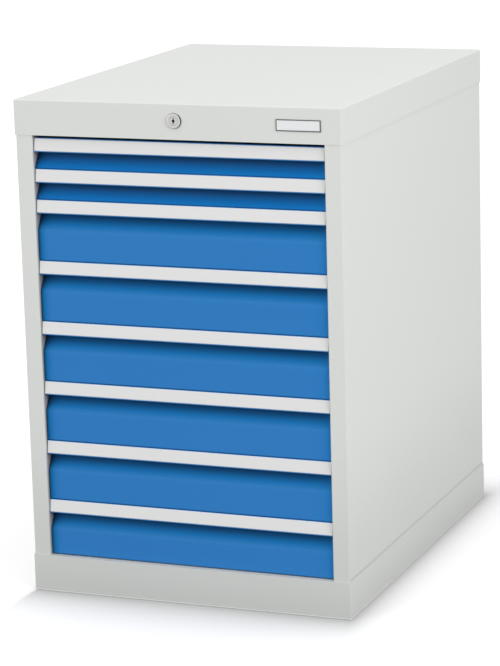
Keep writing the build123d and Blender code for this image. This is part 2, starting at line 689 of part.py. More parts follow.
def main():
    os.makedirs("parts", exist_ok=True)
    right_side = side_panel()
    save("top_cover", top_cover())
    save("right_side_panel", right_side)
    save("left_side_panel", mirrored(right_side))
    save("back_panel", back_panel())
    save("plinth", plinth())
    save("floor_panel", floor_panel())
    save("front_crossbar", front_crossbar())
    save("rear_crossbar", rear_crossbar())
    save("runner_posts", runner_posts())
    save("cabinet_rails", cabinet_rails())
    save("rail_screws", rail_screws())
    save("back_panel_screws", back_panel_screws())
    save("lock_housing", lock_housing())
    save("lock_nut", lock_nut())
    save("lock_plug", lock_plug())
    save("lock_rod", lock_rod())
    save("rod_bush", rod_bush())
    save("lock_bar", lock_bar())
    save("lock_bar_guides", lock_bar_guides())
    save("name_plate", name_plate())
    for number, bottom, top in cells():
        centre = bottom + RUNNER_CENTRE
        name = "drawer_" + str(number)
        save(name + "_box", drawer_box(bottom, top))
        save(name + "_front", drawer_front(bottom, top))
        save(name + "_handle", grip_strip(top))
        inner = channel(BOX_HALF, MID_FACE - RUNNER_SHEET - RUNNER_CLEARANCE, INNER_HALF)
        save(name + "_rails", Compound(children=runner_pair(inner, centre)))
        middle = channel(MID_FACE, CHANNEL_TIP, MID_HALF)
        save(name + "_mid_rails", Compound(children=runner_pair(middle, centre)))


main()
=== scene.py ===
import math

import bmesh
import bpy
from mathutils import Matrix, Vector


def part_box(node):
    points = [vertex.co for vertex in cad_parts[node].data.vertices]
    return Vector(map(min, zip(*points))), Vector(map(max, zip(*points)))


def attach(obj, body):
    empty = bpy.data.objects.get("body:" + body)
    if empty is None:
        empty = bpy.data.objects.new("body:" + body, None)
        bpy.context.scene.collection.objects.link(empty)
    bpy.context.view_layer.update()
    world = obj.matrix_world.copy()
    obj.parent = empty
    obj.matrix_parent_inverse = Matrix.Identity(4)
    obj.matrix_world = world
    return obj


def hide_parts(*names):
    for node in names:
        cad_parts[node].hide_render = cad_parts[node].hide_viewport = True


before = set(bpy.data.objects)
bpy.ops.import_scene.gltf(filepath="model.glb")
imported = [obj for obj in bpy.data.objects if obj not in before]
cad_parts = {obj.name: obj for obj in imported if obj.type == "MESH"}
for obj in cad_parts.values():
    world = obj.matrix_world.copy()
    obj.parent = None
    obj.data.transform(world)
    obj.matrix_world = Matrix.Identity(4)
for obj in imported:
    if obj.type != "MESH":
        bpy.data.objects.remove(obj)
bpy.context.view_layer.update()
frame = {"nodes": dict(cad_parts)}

nodes = frame["nodes"]
drawers = sorted({name.split("_")[1] for name in nodes if name.startswith("drawer_")}, key=int)


# Carcass: cover, side panels, back, floor and crossbars are folded from sheet
# steel, spot welded, and powder coated light grey in one go. The coat is smooth,
# with the faint orange peel of powder that has flowed out in the oven.

class Value:
    """An output socket that takes part in sums with numbers and other outputs."""

    def __init__(self, nodes, socket):
        self.nodes, self.socket = nodes, socket

    def __add__(self, other):
        return self.nodes.calculate("ADD", self, other)

    def __radd__(self, other):
        return self.nodes.calculate("ADD", other, self)

    def __sub__(self, other):
        return self.nodes.calculate("SUBTRACT", self, other)

    def __rsub__(self, other):
        return self.nodes.calculate("SUBTRACT", other, self)

    def __mul__(self, other):
        return self.nodes.calculate("MULTIPLY", self, other)

    def __rmul__(self, other):
        return self.nodes.calculate("MULTIPLY", other, self)

    def __truediv__(self, other):
        return self.nodes.calculate("DIVIDE", self, other)


class Nodes:
    """A node tree that is written line by line."""

    def __init__(self, tree):
        self.tree = tree

    def node(self, kind, settings=None, inputs=None, output=0):
        """Makes one node from its type, its settings and its sockets' values or links."""
        made = self.tree.nodes.new(kind)
        for name, setting in (settings or {}).items():
            setattr(made, name, setting)
        for name, value in (inputs or {}).items():
            self.connect(value, made.inputs[name])
        return Value(self, made.outputs[output])

    def connect(self, value, socket):
        if isinstance(value, Value):
            self.tree.links.new(value.socket, socket)
        else:
            socket.default_value = value

    def calculate(self, operation, *operands):
        return self.node("ShaderNodeMath", {"operation": operation}, dict(enumerate(operands)))

    def fading(self, lengths):
        """1 where lengths is 0, and smaller by a factor of e with each length."""
        return self.calculate("POWER", math.exp(-1.0), lengths)

    def vector(self, x=0.0, y=0.0, z=0.0):
        return self.node("ShaderNodeCombineXYZ", inputs={"X": x, "Y": y, "Z": z})

    def component(self, vector, axis):
        return self.node("ShaderNodeSeparateXYZ", inputs={"Vector": vector}, output=axis)

    def scaled(self, vector, factors):
        return self.node("ShaderNodeVectorMath", {"operation": "MULTIPLY"}, {0: vector, 1: factors})


class Finish(Nodes):
    """A material being mixed: its constants sit on the shader, the rest comes from nodes."""

    def __init__(self, name, constants):
        self.material = bpy.data.materials.new(name)
        self.material.use_nodes = True
        super().__init__(self.material.node_tree)
        self.shader = self.tree.nodes["Principled BSDF"]
        self.feed(constants)

    def feed(self, values):
        for name, value in values.items():
            self.connect(value, self.shader.inputs[name])

    def place(self, stretch=(1.0, 1.0, 1.0)):
        spot = self.node("ShaderNodeTexCoord", output="Object")
        return self.node("ShaderNodeMapping", inputs={"Vector": spot, "Scale": stretch})

    def along(self, axis):
        """The place on the piece along one axis, in metres."""
        return self.component(self.place(), axis)

    def ramp(self, value, start, end, kind="SMOOTHSTEP"):
        """0 at start and 1 at end of a value, level outside them."""
        return self.node(
            "ShaderNodeMapRange",
            {"interpolation_type": kind},
            {"Value": value, "From Min": start, "From Max": end},
        )

    def noise(self, place, scale, detail=2.0):
        return self.node(
            "ShaderNodeTexNoise", inputs={"Vector": place, "Scale": scale, "Detail": detail}, output="Fac"
        )

    def blend(self, factor, first, second):
        """A colour between two others, which are plain colours or made by nodes."""
        made = self.tree.nodes.new("ShaderNodeMix")
        made.data_type = "RGBA"
        self.connect(factor, made.inputs["Factor"])
        for colour, socket in ((first, made.inputs[6]), (second, made.inputs[7])):
            self.connect(colour if isinstance(colour, Value) else (*colour, 1.0), socket)
        return Value(self, made.outputs[2])

    def bump(self, height, distance):
        return self.node("ShaderNodeBump", inputs={"Height": height, "Distance": distance}, output="Normal")


def wear_as(material, *names):
    """Puts one material on whole pieces of the frame."""
    for name in names:
        mesh = nodes[name].data
        mesh.materials.clear()
        mesh.materials.append(material)


def powder_coat(name, deep, pale, gloss, shaded=None, shine=0.3):
    """Smooth powder coat: two near shades, slow clouds in its gloss, fine orange peel.
    shaded takes the coat and its colour and gives its colour with painted light and shade.
    """
    coat = Finish(name, {"Specular IOR Level": shine})
    place = coat.place()
    clouds = coat.noise(place, 3.0)
    specks = coat.noise(place, 260.0)
    peel = coat.noise(place, 520.0)
    peel_depth = 0.00006
    colour = coat.blend(clouds * 0.7 + specks * 0.3, deep, pale)
    coat.feed({
        "Base Color": shaded(coat, colour) if shaded else colour,
        "Roughness": gloss - 0.05 + clouds * 0.1,
        "Normal": coat.bump(peel, peel_depth),
    })
    return coat.material


carcass_deep, carcass_pale = (0.675, 0.69, 0.668), (0.705, 0.718, 0.697)
# Painted light and shade: a grey for shade towards the floor, a dark violet grey for shade on the folds
# beside the drawers, and a pale grey for light just under the cover's skirt.
floor_shade_grey, fold_shade_colour, skirt_light_colour = (0.575, 0.59, 0.575), (0.24, 0.225, 0.245), (0.80, 0.81, 0.79)
# A grey for painted shade along the seam over the plinth.
seam_shade_colour = (0.43, 0.44, 0.43)
# Heights between which the painted shade towards the floor comes in.
floor_shade_starts, floor_shade_ends = 0.32, 0.05
panel_low, panel_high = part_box("left_side_panel")
body_front, opening_half = panel_low.y, -panel_high.x
plinth_low, plinth_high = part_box("plinth")
skirt_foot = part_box("top_cover")[0].z


def shaded_towards_floor(coat, colour):
    """The grey of the carcass, with painted shade that makes it darker towards the floor."""
    return coat.blend(coat.ramp(coat.along("Z"), floor_shade_starts, floor_shade_ends) * 0.7, colour, floor_shade_grey)


def side_panel_painted_light(coat, colour):
    """Painted shade towards the floor and on the folds beside the drawers, painted light
    just under the cover's skirt, and a line of painted shade where the wall meets the plinth.
    """
    across, height, depth = coat.along("X"), coat.along("Z"), coat.along("Y") - body_front
    behind_front = coat.ramp(depth, 0.0008, 0.0030)
    off_middle = coat.calculate("ABSOLUTE", across)
    # Painted shade on the folds beside the drawers, deeper further in.
    on_the_fold = coat.ramp(off_middle, opening_half + 0.0006, opening_half + 0.0002)
    bend, fold_shade_length = 0.0012, 0.005
    inwards = 1.0 - coat.fading((depth - bend) / fold_shade_length)
    fold_shade = on_the_fold * coat.ramp(inwards, 0.0, 1.0, "LINEAR")
    # Painted light just under the cover's skirt, on the front faces only.
    under_skirt = coat.ramp(height, skirt_foot - 0.0028, skirt_foot - 0.0012) * (1.0 - behind_front)
    # A band of painted shade on the side, just over the plinth's top.
    seam_shade_top = coat.ramp(height, plinth_high.z + 0.0065, plinth_high.z + 0.0030)
    seam_shade_foot = coat.ramp(height, plinth_high.z - 0.0010, plinth_high.z + 0.0015)
    fold_shaded = coat.blend(fold_shade * 0.9, shaded_towards_floor(coat, colour), fold_shade_colour)
    skirt_lit = coat.blend(under_skirt, fold_shaded, skirt_light_colour)
    return coat.blend(seam_shade_top * seam_shade_foot * behind_front * 0.6, skirt_lit, seam_shade_colour)


wear_as(
    powder_coat("carcass_powder_coat", carcass_deep, carcass_pale, 0.5, shaded_towards_floor),
    "top_cover", "back_panel", "floor_panel", "front_crossbar", "rear_crossbar",
)
wear_as(
    powder_coat("side_panel_powder_coat", carcass_deep, carcass_pale, 0.5, side_panel_painted_light),
    "left_side_panel", "right_side_panel",
)


# Plinth: a ring of folded sheet, welded at one corner and coated by itself in the grey
# of the carcass, a shade darker, which is partly painted shade. Painted shade darkens it
# further towards the floor, and a painted highlight lies along the fold at its foot.

plinth_deep, plinth_pale = (0.590, 0.605, 0.590), (0.625, 0.637, 0.620)
# A grey for painted shade towards the floor and a pale grey for a painted highlight on the foot's fold.
plinth_floor_shade, foot_highlight = (0.53, 0.545, 0.53), (0.84, 0.85, 0.84)
# Height that the painted shade reaches, and heights between which the painted highlight on the foot's fold
# comes in.
plinth_shade_reach, foot_highlight_starts, foot_highlight_ends = 0.062, 0.0034, 0.0016


# Painted shade towards the floor, and a painted highlight along the fold at the foot.
def plinth_shade_and_highlight(coat, colour):
    height = coat.along("Z")
    floor_shaded = coat.blend(coat.ramp(height, plinth_shade_reach, 0.0) * 0.5, colour, plinth_floor_shade)
    # A painted highlight on the fold at the foot.
    return coat.blend(coat.ramp(height, foot_highlight_starts, foot_highlight_ends), floor_shaded, foot_highlight)


wear_as(powder_coat("plinth_powder_coat", plinth_deep, plinth_pale, 0.52, plinth_shade_and_highlight), "plinth")


# Drawer fronts: sheet folded to a grip recess, a slope and a flat, closed at the
# ends and powder coated blue. Painted shade darkens the coat up the slope into the
# recess and at the left ends, and painted light brightens the right ends.

front_low, front_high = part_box("drawer_3_front")
recess_reached = 0.008  # how far behind the flat the recess is in full effect
# Fade lengths of the painted shade at the left ends and of the painted light at the right ends.
flat_fade, recess_fade, right_fade = 0.005, 0.010, 0.010
# Shares and colours of the painted shade at the left ends and the painted light at the right ends.
left_shade_on_flat, left_shade_in_recess, right_light_share = 0.78, 0.96, 0.7
left_shade_blue, right_light_blue = (0.0, 0.010, 0.036), (0.006, 0.205, 0.550)
# Red taken out towards the left ends, as part of their painted shade.
red_lost, red_loss_starts, red_loss_ends = 0.77, 0.0155, 0.0040


def painted_recess_shade(start, stops):
    """Painted shade that darkens the paint from a depth behind the flat to the back of the
    slope, through (depth, colour) stops, and at the left ends, with painted light at the right ends.
    """
    def shade(coat, colour):
        depth, across = coat.along("Y") - front_low.y, coat.along("X")
        painted, reached = colour, start
        for stop, paint in stops:
            painted = coat.blend(coat.ramp(depth, reached, stop, "LINEAR"), painted, paint)
            reached = stop
        in_recess = coat.ramp(depth, 0.0, recess_reached)
        from_left, from_right = across - front_low.x, front_high.x - across
        fades_per_metre = 1.0 / flat_fade - (1.0 / flat_fade - 1.0 / recess_fade) * in_recess
        left_shade_share = left_shade_on_flat + (left_shade_in_recess - left_shade_on_flat) * in_recess
        red_kept = 1.0 - red_lost * coat.ramp(from_left, red_loss_starts, red_loss_ends)
        cooler = coat.scaled(painted, coat.vector(red_kept, 1.0, 1.0))
        # Painted shade at the left ends, painted light at the right ends.
        left_shaded = coat.blend(coat.fading(from_left * fades_per_metre) * left_shade_share, cooler, left_shade_blue)
        right_lit = coat.blend(coat.fading(from_right / right_fade) * right_light_share, left_shaded, right_light_blue)
        # Faces that look up are left out of the painted shade and light.
        upward = coat.component(coat.node("ShaderNodeNewGeometry", output="Normal"), "Z")
        facing_up = coat.ramp(upward, 0.85, 0.97)
        return coat.blend(facing_up, right_lit, colour)
    return shade


blue_deep, blue_pale = (0.026, 0.187, 0.505), (0.032, 0.207, 0.545)
front_gloss, front_shine = 0.5, 0.12
# Painted shade up the slope of the high fronts, by depth behind the flat.
high_front_blue = powder_coat(
    "high_front_powder_coat", blue_deep, blue_pale, front_gloss,
    painted_recess_shade(0.0, [
        (0.0002, (0.028, 0.194, 0.500)),
        (0.0013, (0.0215, 0.171, 0.450)),
        (0.0045, (0.0045, 0.149, 0.414)),
        (0.0095, (0.003, 0.094, 0.265)),
        (0.0112, (0.009, 0.090, 0.250)),
    ]), front_shine,
)
# Low fronts are nearly all recess, so their painted shade is deeper from the flat on.
low_front_blue = powder_coat(
    "low_front_powder_coat", blue_deep, blue_pale, front_gloss,
    painted_recess_shade(-0.0008, [
        (0.0002, (0.0, 0.137, 0.425)),
        (0.0050, (0.001, 0.107, 0.333)),
        (0.0095, (0.010, 0.082, 0.247)),
        (0.0112, (0.013, 0.083, 0.228)),
    ]), front_shine,
)
low_front_limit = 0.06
for number in drawers:
    low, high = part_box(f"drawer_{number}_front")
    blue = low_front_blue if high.z - low.z < low_front_limit else high_front_blue
    wear_as(blue, f"drawer_{number}_front")


# Grip strips: drawn aluminium sections, cut to the width of the fronts and satin
# anodised. The anodised layer is milky, so it mirrors less than bare metal, and the
# die leaves very fine lines along the strips' length.

strip = Finish("satin_anodised_aluminium", {"Metallic": 0.0, "Specular IOR Level": 0.5})
strip_lines = strip.noise(strip.place((1.0, 60.0, 60.0)), 14.0, 3.0)
strip.feed({
    "Base Color": strip.blend(strip_lines, (0.702, 0.704, 0.702), (0.752, 0.752, 0.750)),
    "Roughness": 0.34 + strip_lines * 0.14,
    "Normal": strip.bump(strip_lines, 0.00003),
})
for number in drawers:
    wear_as(strip.material, f"drawer_{number}_handle")


# Edgings: narrow blue plastic profiles, one stuck under the lip of each grip strip,
# where the fingers take hold, and a thinner one along its top edge. Both run over
# its whole width, and only their front edges show.

edging_plastic = Finish("blue_edging_plastic", {"Specular IOR Level": 0.3})
edging_grain = edging_plastic.noise(edging_plastic.place((4.0, 60.0, 60.0)), 30.0)
edging_plastic.feed({
    "Base Color": edging_plastic.blend(edging_grain, (0.024, 0.190, 0.510), (0.030, 0.210, 0.550)),
    "Roughness": 0.42 + edging_grain * 0.12,
    "Normal": edging_plastic.bump(edging_grain, 0.00003),
})
edging_round, round_steps = 0.0003, 4


def finished_piece(name, bm):
    """Turns a mesh under construction into an object whose faces all look outwards."""
    bmesh.ops.recalc_face_normals(bm, faces=bm.faces)
    mesh = bpy.data.meshes.new(name)
    bm.to_mesh(mesh)
    bm.free()
    piece = bpy.data.objects.new(name, mesh)
    bpy.context.scene.collection.objects.link(piece)
    return piece


def edging(name, left, right, seat, free, front, depth):
    """A flat profile between two heights; its front edge is rounded where it is free."""
    outwards = math.copysign(edging_round, free - seat)
    section = [(front, seat), (front + depth, seat), (front + depth, free)]
    for step in range(round_steps + 1):
        angle = math.pi / 2 * step / round_steps
        back_off, drop = 1.0 - math.sin(angle), 1.0 - math.cos(angle)
        section.append((front + edging_round * back_off, free - outwards * drop))
    count = len(section)
    bm = bmesh.new()
    ends = [[bm.verts.new((x, y, z)) for y, z in section] for x in (left, right)]
    bm.faces.new(ends[0])
    bm.faces.new(list(reversed(ends[1])))
    for index in range(count):
        following = (index + 1) % count
        bm.faces.new([ends[0][index], ends[0][following], ends[1][following], ends[1][index]])
    piece = finished_piece(name, bm)
    piece.data.materials.append(edging_plastic.material)
    return piece


lip_height, lip_depth, lip_set_back = 0.0013, 0.0045, 0.0003
bead_height, bead_depth, bead_set_back = 0.0008, 0.0018, 0.0004
bead_seat = 0.0003  # how far the upper edging reaches down behind the strip's top edge
strip_slant = 0.0025  # how far the strip's top edge lies behind its foot
for number in drawers:
    low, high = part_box(f"drawer_{number}_handle")
    lip_front, bead_front = low.y + lip_set_back, low.y + strip_slant + bead_set_back
    for name, seat, free, front, depth in (
        ("lip_edging", low.z, low.z - lip_height, lip_front, lip_depth),
        ("top_edging", high.z - bead_seat, high.z + bead_height, bead_front, bead_depth),
    ):
        piece = edging(f"drawer_{number}_{name}", low.x, high.x, seat, free, front, depth)
        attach(piece, f"drawer_{number}")


# Drawer boxes: open trays of thin sheet with a folded rim, coated in the grey
# of the carcass, a shade deeper because they are sprayed on both sides.

box_grey = powder_coat("box_powder_coat", (0.56, 0.575, 0.56), (0.60, 0.61, 0.595), 0.5)
for number in drawers:
    wear_as(box_grey, f"drawer_{number}_box")


# Runners, posts and locking parts: rolled steel with a bright zinc plating, which
# is a little cloudy and shows the lines of the rolling.

zinc = Finish("bright_zinc_plating", {"Metallic": 1.0})
zinc_clouds = zinc.noise(zinc.place(), 22.0)
zinc_lines = zinc.noise(zinc.place((40.0, 1.0, 40.0)), 20.0)
zinc.feed({
    "Base Color": zinc.blend(zinc_clouds, (0.50, 0.52, 0.54), (0.66, 0.665, 0.66)),
    "Roughness": 0.26 + zinc_clouds * 0.14 + zinc_lines * 0.08,
    "Normal": zinc.bump(zinc_lines, 0.00002),
})
wear_as(zinc.material, "runner_posts", "cabinet_rails", "rail_screws", "lock_rod", "lock_bar")
for number in drawers:
    wear_as(zinc.material, f"drawer_{number}_rails", f"drawer_{number}_mid_rails")


# Back panel screws: zinc plated pan heads with a cross recess, four down each
# side, through the rear flanges. Each one stopped at its own angle.

class Pattern(Nodes):
    """A Geometry Nodes tree for small parts that repeat, with named inputs for its sizes."""

    def __init__(self, name, sizes):
        super().__init__(bpy.data.node_groups.new(name, "GeometryNodeTree"))
        self.tree.interface.new_socket("Parts", in_out="OUTPUT", socket_type="NodeSocketGeometry")
        self.sizes = {}
        for size, value in sizes.items():
            kind = {tuple: "NodeSocketVector", int: "NodeSocketInt"}.get(type(value), "NodeSocketFloat")
            socket = self.tree.interface.new_socket(size, in_out="INPUT", socket_type=kind)
            self.sizes[socket.identifier] = value
        self.entry = self.tree.nodes.new("NodeGroupInput")

    def size(self, name):
        return Value(self, self.entry.outputs[name])

    def moved(self, part, shift=(0.0, 0.0, 0.0), turned=(0.0, 0.0, 0.0)):
        return self.node(
            "GeometryNodeTransform", inputs={"Geometry": part, "Translation": shift, "Rotation": turned}
        )

    def united(self, solids):
        return self.solids_combined("UNION", None, solids)

    def cut(self, solid, cutters):
        return self.solids_combined("DIFFERENCE", solid, cutters)

    def solids_combined(self, operation, first, others):
        made = self.tree.nodes.new("GeometryNodeMeshBoolean")
        made.operation = operation
        if first:
            self.connect(first, made.inputs["Mesh 1"])
        for other in others:
            self.connect(other, made.inputs["Mesh 2"])
        return Value(self, made.outputs[0])

    def make(self, name, parts, material):
        """Realizes the parts in their material and gives them as one plain mesh object."""
        realized = self.node("GeometryNodeRealizeInstances", inputs={"Geometry": parts})
        finished = self.node("GeometryNodeSetMaterial", inputs={"Geometry": realized, "Material": material})
        self.connect(finished, self.tree.nodes.new("NodeGroupOutput").inputs[0])
        piece = bpy.data.objects.new(name, bpy.data.meshes.new(name))
        bpy.context.scene.collection.objects.link(piece)
        modifier = piece.modifiers.new(name, "NODES")
        modifier.node_group = self.tree
        for identifier, value in self.sizes.items():
            modifier[identifier] = value
        evaluated = piece.evaluated_get(bpy.context.evaluated_depsgraph_get())
        mesh = bpy.data.meshes.new_from_object(evaluated)
        piece.modifiers.remove(modifier)
        piece.data = mesh
        return piece


def smooth_between_edges(piece, angle=35.0):
    """Shades a mesh smooth, but keeps every edge that turns more than an angle."""
    piece.data.shade_smooth()
    piece.data.set_sharp_from_angle(angle=math.radians(angle))


screws_low, screws_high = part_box("back_panel_screws")
head_radius, head_height = 0.0045, 0.0014
screws = Pattern("pan_head_screws", {
    "Head radius": head_radius,
    "Head height": head_height,
    "Shank radius": 0.0019,
    "Shank length": screws_high.y - head_height - screws_low.y,
    "Recess length": 0.0044,
    "Recess width": 0.0010,
    "Recess depth": 0.0009,
    "Columns apart": screws_high.x - screws_low.x - 2 * head_radius,
    "Rows span": screws_high.z - screws_low.z - 2 * head_radius,
    "Rows": 4,
    "Middle": (0.0, screws_high.y - head_height, (screws_low.z + screws_high.z) / 2),
})
half_head = 0.5 * screws.size("Head height")
head = screws.node(
    "GeometryNodeMeshCylinder",
    inputs={
        "Vertices": 40,
        "Side Segments": 7,
        "Radius": screws.size("Head radius"),
        "Depth": screws.size("Head height"),
    },
)
spot = screws.node("GeometryNodeInputPosition")
height_share = (screws.component(spot, "Z") + half_head) / screws.size("Head height")
top_narrowing = 0.22  # how much narrower the head is at its top than at its seat
shoulder = 1.0 - top_narrowing * screws.calculate("POWER", height_share, 3.0)
rounded = screws.scaled(spot, screws.vector(shoulder, shoulder, 1.0))
head = screws.node("GeometryNodeSetPosition", inputs={"Geometry": head, "Position": rounded})
head = screws.moved(head, screws.vector(z=half_head))
shank = screws.node(
    "GeometryNodeMeshCylinder",
    inputs={
        "Vertices": 24,
        "Radius": screws.size("Shank radius"),
        "Depth": screws.size("Shank length"),
    },
)
shank = screws.moved(shank, screws.vector(z=-0.5 * screws.size("Shank length")))
arm = screws.node("GeometryNodeMeshCube", inputs={"Size": screws.vector(
    screws.size("Recess length"), screws.size("Recess width"), 2.0 * screws.size("Recess depth"),
)})
arm_place = screws.vector(z=screws.size("Head height"))
arms = [screws.moved(arm, arm_place, (0.0, 0.0, angle)) for angle in (0.0, math.pi / 2)]
screw = screws.cut(screws.united((head, shank)), arms)
facing_back = screws.moved(screw, turned=(-math.pi / 2, 0.0, 0.0))
grid = screws.node("GeometryNodeMeshGrid", inputs={
    "Size X": screws.size("Columns apart"),
    "Size Y": screws.size("Rows span"),
    "Vertices X": 2,
    "Vertices Y": screws.size("Rows"),
})
places = screws.moved(grid, screws.size("Middle"), (math.pi / 2, 0.0, 0.0))
stop_angle = screws.node(
    "FunctionNodeRandomValue", {"data_type": "FLOAT"}, {"Max": math.pi, "Seed": 4}, output=1
)
placed = screws.node("GeometryNodeInstanceOnPoints", inputs={
    "Points": places, "Instance": facing_back, "Rotation": screws.vector(y=stop_angle),
})
back_screws = screws.make("back_screws", placed, zinc.material)
smooth_between_edges(back_screws)
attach(back_screws, "cabinet")
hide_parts("back_panel_screws")


# Lock: zinc die cast housing and plug, nickel plated, turned to a fine circular
# grain on their faces. It is put in from the front and held by its nut.

plug_low, plug_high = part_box("lock_plug")
housing_low, housing_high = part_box("lock_housing")
lock_middle = (plug_low + plug_high) / 2
rosette_face = housing_low.y
polished_radius = 0.0114  # where the rosette's face ends and its flank starts
# Satin nickel, and a pale nickel for a painted highlight on the edge of the rosette's face.
bright_nickel, face_edge_highlight = ((0.49, 0.49, 0.48), (0.58, 0.58, 0.57)), (0.66, 0.66, 0.65)
# Painted shade on the rosette's flank, deepest to its right and below.
flank_shade_pale, flank_shade_dark = (0.40, 0.40, 0.39), (0.06, 0.06, 0.06)
turned_grain, plain_grain, grain_depth = 2600.0, 900.0, 0.00002


def nickel_plating(name, from_the_axis=False):
    """Satin nickel. On turned parts its grain runs round the axis, the edge of the face
    has a painted highlight, and the flank has painted shade, most of all at its right and below.
    """
    plating = Finish(name, {"Metallic": 1.0})
    haze = plating.noise(plating.place(), 90.0)
    colour = plating.blend(haze, *bright_nickel)
    if from_the_axis:
        across, height = plating.along("X") - lock_middle.x, plating.along("Z") - lock_middle.z
        radius = plating.calculate("SQRT", across * across + height * height)
        grain = plating.noise(plating.vector(radius), turned_grain)
        # Painted shade on the flank, deepest to its right and below.
        right_and_below = (0.9 * across - 0.42 * height) / polished_radius
        flank = plating.blend(plating.ramp(right_and_below, 0.0, 0.75), flank_shade_pale, flank_shade_dark)
        # A painted highlight round the edge of the face.
        face = plating.blend(plating.ramp(radius, 0.0101, 0.0107), colour, face_edge_highlight)
        on_flank = plating.ramp(radius, polished_radius, polished_radius + 0.0002)
        colour = plating.blend(on_flank, face, flank)
    else:
        grain = plating.noise(plating.place(), plain_grain)
    plating.feed({
        "Base Color": colour,
        "Roughness": 0.24 + haze * 0.14,
        "Normal": plating.bump(grain, grain_depth),
    })
    return plating.material


nickel = nickel_plating("satin_nickel_plating", from_the_axis=True)
wear_as(nickel_plating("nut_nickel_plating"), "lock_nut")
turning_steps = 96


def turned(name, profile, closed):
    """A part turned about the lock's axis. The profile runs along (radius, y) points;
    closed means that it is a ring in section, otherwise it starts and ends on the axis.
    """
    bm = bmesh.new()
    angles = [2 * math.pi * step / turning_steps for step in range(turning_steps)]
    rings = []
    for radius, y in profile:
        if radius == 0.0:
            rings.append([bm.verts.new((lock_middle.x, y, lock_middle.z))] * turning_steps)
            continue
        rings.append([
            bm.verts.new((lock_middle.x + radius * math.cos(a), y, lock_middle.z + radius * math.sin(a)))
            for a in angles
        ])
    pairs = zip(rings, rings[1:] + rings[:1]) if closed else zip(rings, rings[1:])
    for first, second in pairs:
        for step in range(turning_steps):
            following = (step + 1) % turning_steps
            corners = [first[step], first[following], second[following], second[step]]
            bm.faces.new([corner for index, corner in enumerate(corners) if corner not in corners[:index]])
    return finished_piece(name, bm)


bore, barrel, rim_radius = 0.00705, 0.0095, 0.0125
cover_face = rosette_face + 0.003
rosette = turned("lock_rosette", [
    (bore, rosette_face + 0.0006),
    (bore + 0.0003, rosette_face + 0.0003),
    (0.0083, rosette_face + 0.0002),
    (0.0087, rosette_face + 0.0005),
    (0.0104, rosette_face + 0.0005),
    (0.0108, rosette_face + 0.0001),
    (0.0111, rosette_face),
    (polished_radius, rosette_face + 0.0002),
    (0.0118, rosette_face + 0.0008),
    (0.0123, rosette_face + 0.0021),
    (rim_radius, rosette_face + 0.0026),
    (rim_radius, cover_face),
    (barrel, cover_face),
    (barrel, housing_high.y),
    (bore, housing_high.y),
], closed=True)
rosette.data.materials.append(nickel)
smooth_between_edges(rosette, 50.0)
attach(rosette, "cabinet")
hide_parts("lock_housing")

plug_radius, plug_edge, plug_face = 0.0070, 0.0004, plug_low.y
plug = turned("lock_plug_face", [
    (0.0, plug_face),
    (plug_radius - plug_edge, plug_face),
    (plug_radius, plug_face + plug_edge),
    (plug_radius, plug_high.y),
    (0.0, plug_high.y),
], closed=False)
hole_radius, slot_half, slot_above, keyway_depth = 0.0024, 0.0008, 0.0052, 0.012
pin_hole_radius, pin_hole_below = 0.0012, 0.0038
cutter_ahead, arc_steps = 0.001, 16
slot_meets = math.asin(slot_half / hole_radius)
arc = [
    slot_meets - math.pi / 2 + (math.pi - 2 * slot_meets) * step / arc_steps
    for step in range(arc_steps + 1)
]
right_half = [(hole_radius * math.cos(a), hole_radius * math.sin(a)) for a in arc]
slot_top = [(slot_half, slot_above), (-slot_half, slot_above)]
keyhole = right_half + slot_top + [(-x, z) for x, z in reversed(right_half)]
pin_hole = [
    (pin_hole_radius * math.cos(a), pin_hole_radius * math.sin(a) - pin_hole_below)
    for a in (2 * math.pi * step / arc_steps for step in range(arc_steps))
]
bm = bmesh.new()
for outline in (keyhole, pin_hole):
    ends = [
        [bm.verts.new((lock_middle.x + x, y, lock_middle.z + z)) for x, z in outline]
        for y in (plug_face - cutter_ahead, plug_face + keyway_depth)
    ]
    bm.faces.new(ends[0])
    bm.faces.new(list(reversed(ends[1])))
    for index in range(len(outline)):
        following = (index + 1) % len(outline)
        bm.faces.new([ends[0][following], ends[0][index], ends[1][index], ends[1][following]])
keyway = finished_piece("keyway", bm)
cutting = plug.modifiers.new("keyway", "BOOLEAN")
cutting.operation, cutting.object, cutting.solver = "DIFFERENCE", keyway, "EXACT"
plug_mesh = bpy.data.meshes.new_from_object(plug.evaluated_get(bpy.context.evaluated_depsgraph_get()))
plug.modifiers.clear()
plug.data = plug_mesh
bpy.data.objects.remove(keyway)
# The inside of the keyhole is painted near black, as painted shade.
keyway_shade = Finish("greased_keyway", {"Specular IOR Level": 0.3})
keyway_mottle = keyway_shade.noise(keyway_shade.place(), 700.0)
keyway_shade.feed({
    "Base Color": keyway_shade.blend(keyway_mottle, (0.008, 0.008, 0.008), (0.016, 0.015, 0.014)),
    "Roughness": 0.45 + keyway_mottle * 0.2,
})
plug.data.materials.clear()
plug.data.materials.append(nickel)
plug.data.materials.append(keyway_shade.material)
cut_reach = max(slot_above, pin_hole_below + pin_hole_radius) + 0.0002
for face in plug.data.polygons:
    from_axis = Vector((face.center.x - lock_middle.x, face.center.z - lock_middle.z)).length
    inside = plug_face + 0.0002 < face.center.y < plug_face + keyway_depth + 0.0001
    face.material_index = 1 if inside and from_axis < cut_reach else 0
smooth_between_edges(plug)
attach(plug, "lock_cylinder")
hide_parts("lock_plug")


# Rod bush and bar guides: moulded black plastic with a fine spark-eroded grain.
# The bush sits in the rear crossbar, with one guide on that bar and one on the floor.

